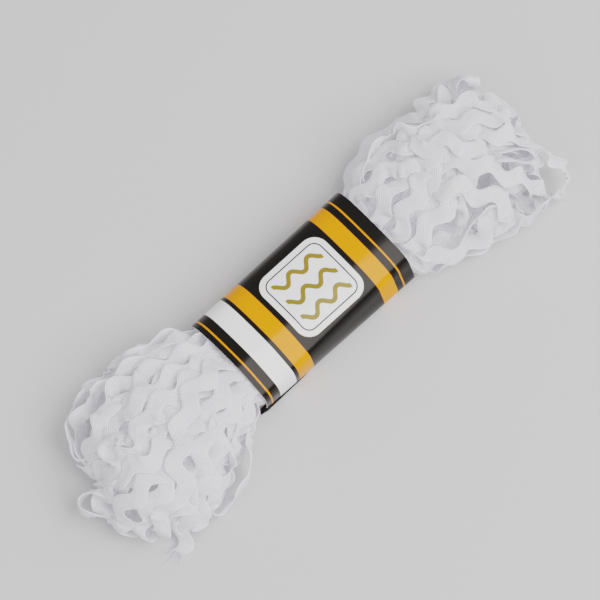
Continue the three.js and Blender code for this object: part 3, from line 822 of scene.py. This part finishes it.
def make_band():
    """The paper band as one tube of thin paper, smooth from its left outline to its right one.

    Its places are x along the hank and the length round the band from the middle of its top, both in
    millimetres. Its second material is for the inside and the cut edges.
    """
    rings, places = [], []
    for share in np.arange(BAND_COLUMNS + 1) / BAND_COLUMNS:
        outline = (1 - share) * left_outline + share * right_outline
        along = unit(np.roll(outline, -1, axis=0) - np.roll(outline, 1, axis=0))
        inward = np.stack([-along[:, 1], along[:, 0]], 1)
        run = run_of(outline)
        below = outline[:, 1] < WAIST_MIDDLE[1]
        top = np.argmin(np.where(below, np.inf, np.abs(outline[:, 0])))
        x = BAND_LEFT + share * (BAND_RIGHT - BAND_LEFT)
        for inset in (0, PAPER):
            ring = outline + inset * inward
            rings.append(np.column_stack([x - LEAN * ring[:, 1], ring]))
            places.append(np.column_stack([np.full(len(run), x), run - run[top], 0 * run]))
    size = len(left_outline)
    step = np.arange(size)
    after = (step + 1) % size
    outer, inner = [], []
    for column in range(BAND_COLUMNS):
        a, b = 2 * column * size, (2 * column + 2) * size
        c, d = a + size, b + size
        outer.append(np.stack([a + step, a + after, b + after, b + step], 1))
        inner.append(np.stack([c + step, d + step, d + after, c + after], 1))
    last = 2 * BAND_COLUMNS * size
    inner.append(np.stack([step, size + step, size + after, after], 1))
    inner.append(np.stack([last + step, last + after, last + size + after, last + size + step], 1))
    band = mesh_object("printed_band", np.vstack(rings), np.vstack(outer + inner))
    note_places(band, "print", np.vstack(places))
    faces, printed = band.data.polygons, BAND_COLUMNS * size
    faces.foreach_set("material_index", [int(i >= printed) for i in range(len(faces))])
    band.data.set_sharp_from_angle(angle=math.radians(BAND_SHARP))
    return band


# The tongue of paper at the front bottom edge, where the strip overlaps itself: x and y of its corners.
TONGUE = [(-1, -17.2), (-39.4, -16.6), (-40.6, -18.4), (-37.5, -19), (-20, -18.7)]
TONGUE_LOW, TONGUE_LIFT = 0.5, 1.1
PLAIN_PLACE = (29, 0, 0)  # a place of the print that is black


def make_tongue():
    """The tongue as a thin plate that lifts a little towards its tip."""
    points, count = [], len(TONGUE)
    tip = min(x for x, _ in TONGUE)
    for high in (0, PAPER):
        for x, y in TONGUE:
            points.append((x, y, TONGUE_LOW + TONGUE_LIFT * (x / tip) ** 2 + high))
    sides = [(i, (i + 1) % count, count + (i + 1) % count, count + i) for i in range(count)]
    tongue = mesh_object("band_tongue", points, sides, [range(count - 1, -1, -1), range(count, 2 * count)])
    tongue.data.set_sharp_from_angle(angle=math.radians(TONGUE_SHARP))
    note_places(tongue, "print", [PLAIN_PLACE] * len(points))
    return tongue


# The lights: a softbox above the front side, which the band's glossy front reflects, and a fill at each
# end, in dim surroundings. Each has the direction it stands in, its two sizes in metres and its brightness.
LIGHTS = {
    "softbox": ((0.24, -0.54, 0.81), (0.93, 1.3), 3.4),
    "fill_left": ((-0.75, -0.2, 0.63), (1.25, 1.25), 1.0),
    "fill_right": ((0.85, -0.1, 0.52), (1.25, 1.25), 0.9),
}
LIGHT_DISTANCE = 1.4
ROOM_COLOUR, ROOM_BRIGHTNESS = (0.97, 0.98, 1, 1), 0.4
EXPOSURE = 0.5
BOUNCES = 24  # white braid passes light on many times before it is lost


def make_light():
    """The room's light, the lamps and how the picture is exposed."""
    world = bpy.data.worlds.new("studio")
    world.use_nodes = True
    room = world.node_tree.nodes["Background"].inputs
    room["Color"].default_value = ROOM_COLOUR
    room["Strength"].default_value = ROOM_BRIGHTNESS
    scene = bpy.context.scene
    scene.world = world
    scene.view_settings.view_transform = "Filmic"
    scene.view_settings.exposure = EXPOSURE
    scene.cycles.max_bounces = BOUNCES
    scene.cycles.diffuse_bounces = BOUNCES
    for name, (way, (long, wide), brightness) in LIGHTS.items():
        data = bpy.data.lights.new(name, "AREA")
        data.shape = "RECTANGLE"
        data.size, data.size_y = long, wide
        data.energy = brightness * math.pi * long * wide
        lamp = add_object(name, data)
        back = Vector(way).normalized()
        right = Vector((0, 1, 0)).cross(back).normalized()
        turned = Matrix((right, back.cross(right), back)).transposed().to_4x4()
        turned.translation = back * LIGHT_DISTANCE
        lamp.matrix_world = turned


def material_of(name, colour, roughness):
    """A new material with its colour and roughness set, its node tree and its main shader."""
    material = bpy.data.materials.new(name)
    material.use_nodes = True
    tree = material.node_tree
    main = tree.nodes["Principled BSDF"]
    main.inputs["Base Color"].default_value = (*colour, 1)
    main.inputs["Roughness"].default_value = roughness
    return material, tree, main


def feed(tree, socket, value):
    """Gives a socket a number or colour, or links it to another socket."""
    if isinstance(value, bpy.types.NodeSocket):
        tree.links.new(value, socket)
    else:
        socket.default_value = value


def maths(tree, operation, *values, clamped=False):
    """A maths node's result for the given numbers or sockets."""
    node = tree.nodes.new("ShaderNodeMath")
    node.operation = operation
    node.use_clamp = clamped
    for socket, value in zip(node.inputs, values):
        feed(tree, socket, value)
    return node.outputs[0]


def place_on(tree, name):
    """The two places that note_places stored, in millimetres."""
    attribute = tree.nodes.new("ShaderNodeAttribute")
    attribute.attribute_name = name
    parts = tree.nodes.new("ShaderNodeSeparateXYZ")
    tree.links.new(attribute.outputs["Vector"], parts.inputs[0])
    return parts.outputs[0], parts.outputs[1]


MIX_BELOW, MIX_ABOVE, MIX_RESULT = 6, 7, 2  # the colour sockets of a mix node


def over(tree, below, colour, share):
    """A colour laid over another where its share is 1."""
    mix = tree.nodes.new("ShaderNodeMix")
    mix.data_type = "RGBA"
    feed(tree, mix.inputs["Factor"], share)
    feed(tree, mix.inputs[MIX_BELOW], below)
    feed(tree, mix.inputs[MIX_ABOVE], colour)
    return mix.outputs[MIX_RESULT]


EDGE_SOFT = 0.16  # width over which a printed edge changes colour


def between(tree, value, low, high):
    """1 where the value lies between the two limits and 0 outside."""
    rise = maths(tree, "DIVIDE", maths(tree, "SUBTRACT", value, low), EDGE_SOFT, clamped=True)
    fall = maths(tree, "DIVIDE", maths(tree, "SUBTRACT", high, value), EDGE_SOFT, clamped=True)
    return maths(tree, "MULTIPLY", rise, fall)


def rounded_box(tree, x, y, middle, half, radius):
    """How far a place lies outside a box with rounded corners, and below 0 inside it."""
    sides = []
    for value, centre, reach in zip((x, y), middle, half):
        gap = maths(tree, "ABSOLUTE", maths(tree, "SUBTRACT", value, centre))
        sides.append(maths(tree, "SUBTRACT", gap, reach - radius))
    outer = [maths(tree, "MAXIMUM", side, 0) for side in sides]
    squares = [maths(tree, "MULTIPLY", side, side) for side in outer]
    corner = maths(tree, "SQRT", maths(tree, "ADD", *squares))
    inner = maths(tree, "MINIMUM", maths(tree, "MAXIMUM", *sides), 0)
    return maths(tree, "SUBTRACT", maths(tree, "ADD", corner, inner), radius)


# The print: inks, the stripes round the band from and to their x, and the panel with its keyline and waves.
BLACK_INK = (0.003, 0.0025, 0.002, 1)
YELLOW_INK = (0.9, 0.265, 0.002, 1)
WHITE_PAPER = (0.9, 0.88, 0.87, 1)
GOLD_INK = (0.26, 0.175, 0.02, 1)
STRIPES = [
    (30.2, 31.0, YELLOW_INK),
    (20.5, 27.5, YELLOW_INK),
    (-21.5, -14.5, YELLOW_INK),
    (-31, -23, WHITE_PAPER),
    (-35.2, -34.4, YELLOW_INK),
]
PANEL_MIDDLE, PANEL_HALF, PANEL_RADIUS = (3.0, 1.0), (15.5, 14.5), 6.0
KEYLINE_INSET, KEYLINE_WIDTH = 2.2, 0.65
WAVE_ROWS, WAVE_SPACING, WAVE_RISE, WAVE_REPEAT, WAVE_THICK = 3, 7.4, 1.6, 8.8, 1.9
WAVES_HALF = 11.0
DEEP = -100  # further inside the panel than any place is
PAPER_ROUGHNESS, CORE_ROUGHNESS = 0.17, 0.8
PAPER_SHINE = 0.23
SHINE_COLOUR = (1, 0.93, 0.87, 1)


def paper():
    """The band's coated paper with its print."""
    material, tree, main = material_of("coated_paper", BLACK_INK[:3], PAPER_ROUGHNESS)
    main.inputs["Specular IOR Level"].default_value = PAPER_SHINE
    main.inputs["Specular Tint"].default_value = SHINE_COLOUR
    x, y = place_on(tree, "print")
    colour = BLACK_INK
    for low, high, ink in STRIPES:
        colour = over(tree, colour, ink, between(tree, x, low, high))
    depth = rounded_box(tree, x, y, PANEL_MIDDLE, PANEL_HALF, PANEL_RADIUS)
    colour = over(tree, colour, WHITE_PAPER, between(tree, depth, DEEP, 0))
    keyline = between(tree, depth, -KEYLINE_INSET - KEYLINE_WIDTH, -KEYLINE_INSET)
    colour = over(tree, colour, BLACK_INK, keyline)
    along = maths(tree, "SUBTRACT", x, PANEL_MIDDLE[0])
    turn = maths(tree, "MULTIPLY", along, 2 * math.pi / WAVE_REPEAT)
    lift = maths(tree, "MULTIPLY", maths(tree, "SINE", turn), WAVE_RISE)
    slope = maths(tree, "MULTIPLY", maths(tree, "COSINE", turn), WAVE_RISE * 2 * math.pi / WAVE_REPEAT)
    slant = maths(tree, "SQRT", maths(tree, "ADD", 1, maths(tree, "MULTIPLY", slope, slope)))
    inside = between(tree, along, -WAVES_HALF, WAVES_HALF)
    for row in range(WAVE_ROWS):
        middle = PANEL_MIDDLE[1] + (row - (WAVE_ROWS - 1) / 2) * WAVE_SPACING
        gap = maths(tree, "SUBTRACT", maths(tree, "SUBTRACT", y, middle), lift)
        wave = between(tree, maths(tree, "DIVIDE", gap, slant), -WAVE_THICK / 2, WAVE_THICK / 2)
        colour = over(tree, colour, GOLD_INK, maths(tree, "MULTIPLY", wave, inside))
    tree.links.new(colour, main.inputs["Base Color"])
    return material


# The braid's look: the length of a yarn's stitch, its slant, its relief, how much shade is painted into the
# grooves between the ribs and how much light the tape lets through.
YARN_STEP, YARN_SLANT, YARN_DEPTH = 1.1, 0.9, 0.05
PAINTED_GROOVE_SHADE = 0.13
LET_THROUGH = 0.3
BRAID_COLOUR, BRAID_ROUGHNESS = (0.972, 0.965, 0.99), 0.6
SHEEN, SHEEN_ROUGHNESS = 0.2, 0.4
PAINTED_GLOW = 0.05  # painted light: a faint glow in the braid's own colour that lifts its shaded gaps


def braid_cloth():
    """White polyester braid: lengthwise ribs of slanting yarns, a little see-through."""
    material, tree, main = material_of("braid", BRAID_COLOUR, BRAID_ROUGHNESS)
    s, q = place_on(tree, "lay")
    rib = maths(tree, "COSINE", maths(tree, "MULTIPLY", q, 2 * math.pi * RIBS / TAPE_WIDTH))
    ribs = maths(tree, "MULTIPLY", rib, RIB_DEPTH / 2)
    slant = maths(tree, "MULTIPLY", rib, YARN_SLANT)
    along = maths(tree, "ADD", maths(tree, "MULTIPLY", s, 2 * math.pi / YARN_STEP), slant)
    yarns = maths(tree, "MULTIPLY", maths(tree, "SINE", along), YARN_DEPTH / 2)
    bump = tree.nodes.new("ShaderNodeBump")
    bump.inputs["Strength"].default_value = 1
    bump.inputs["Distance"].default_value = MM
    feed(tree, bump.inputs["Height"], maths(tree, "ADD", ribs, yarns))
    # painted shade: the braid's colour darkened towards black in the grooves between the ribs
    painted_shade = maths(tree, "MULTIPLY", maths(tree, "SUBTRACT", 1, rib), PAINTED_GROOVE_SHADE / 2)
    colour = over(tree, (*BRAID_COLOUR, 1), (0, 0, 0, 1), painted_shade)
    through = tree.nodes.new("ShaderNodeBsdfTranslucent")
    both = tree.nodes.new("ShaderNodeMixShader")
    both.inputs[0].default_value = LET_THROUGH
    for shader, name in ((main, "Base Color"), (through, "Color")):
        feed(tree, shader.inputs[name], colour)
        feed(tree, shader.inputs["Normal"], bump.outputs[0])
    # painted light: the braid glows faintly in its own colour, which lifts its shaded gaps
    feed(tree, main.inputs["Emission Color"], colour)
    main.inputs["Emission Strength"].default_value = PAINTED_GLOW
    main.inputs["Sheen Weight"].default_value = SHEEN
    main.inputs["Sheen Roughness"].default_value = SHEEN_ROUGHNESS
    feed(tree, both.inputs[1], main.outputs[0])
    feed(tree, both.inputs[2], through.outputs[0])
    feed(tree, tree.nodes["Material Output"].inputs["Surface"], both.outputs[0])
    return material


FLOOR_SIZE, FLOOR_COLOUR, FLOOR_ROUGHNESS = 6, (0.62, 0.608, 0.61), 0.7


def make_floor():
    """The plain pale floor that the hank lies on."""
    bpy.ops.mesh.primitive_plane_add(size=FLOOR_SIZE)
    floor = bpy.context.object
    floor.name = "floor"
    floor.data.materials.append(material_of("floor", FLOOR_COLOUR, FLOOR_ROUGHNESS)[0])


make_floor()
make_light()
cloth = braid_cloth()
pieces, loose_route = make_hank()
for piece in pieces:
    piece.data.materials.append(cloth)
    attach(piece, "root")
    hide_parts("loose_end" if piece in pieces[:2] else "hank")
coated = paper()
core = material_of("paper_core", WHITE_PAPER[:3], CORE_ROUGHNESS)[0]
for piece in (make_band(), make_tongue()):
    piece.data.materials.append(coated)
    piece.data.materials.append(core)
    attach(piece, "root")
    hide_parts("paper_band")
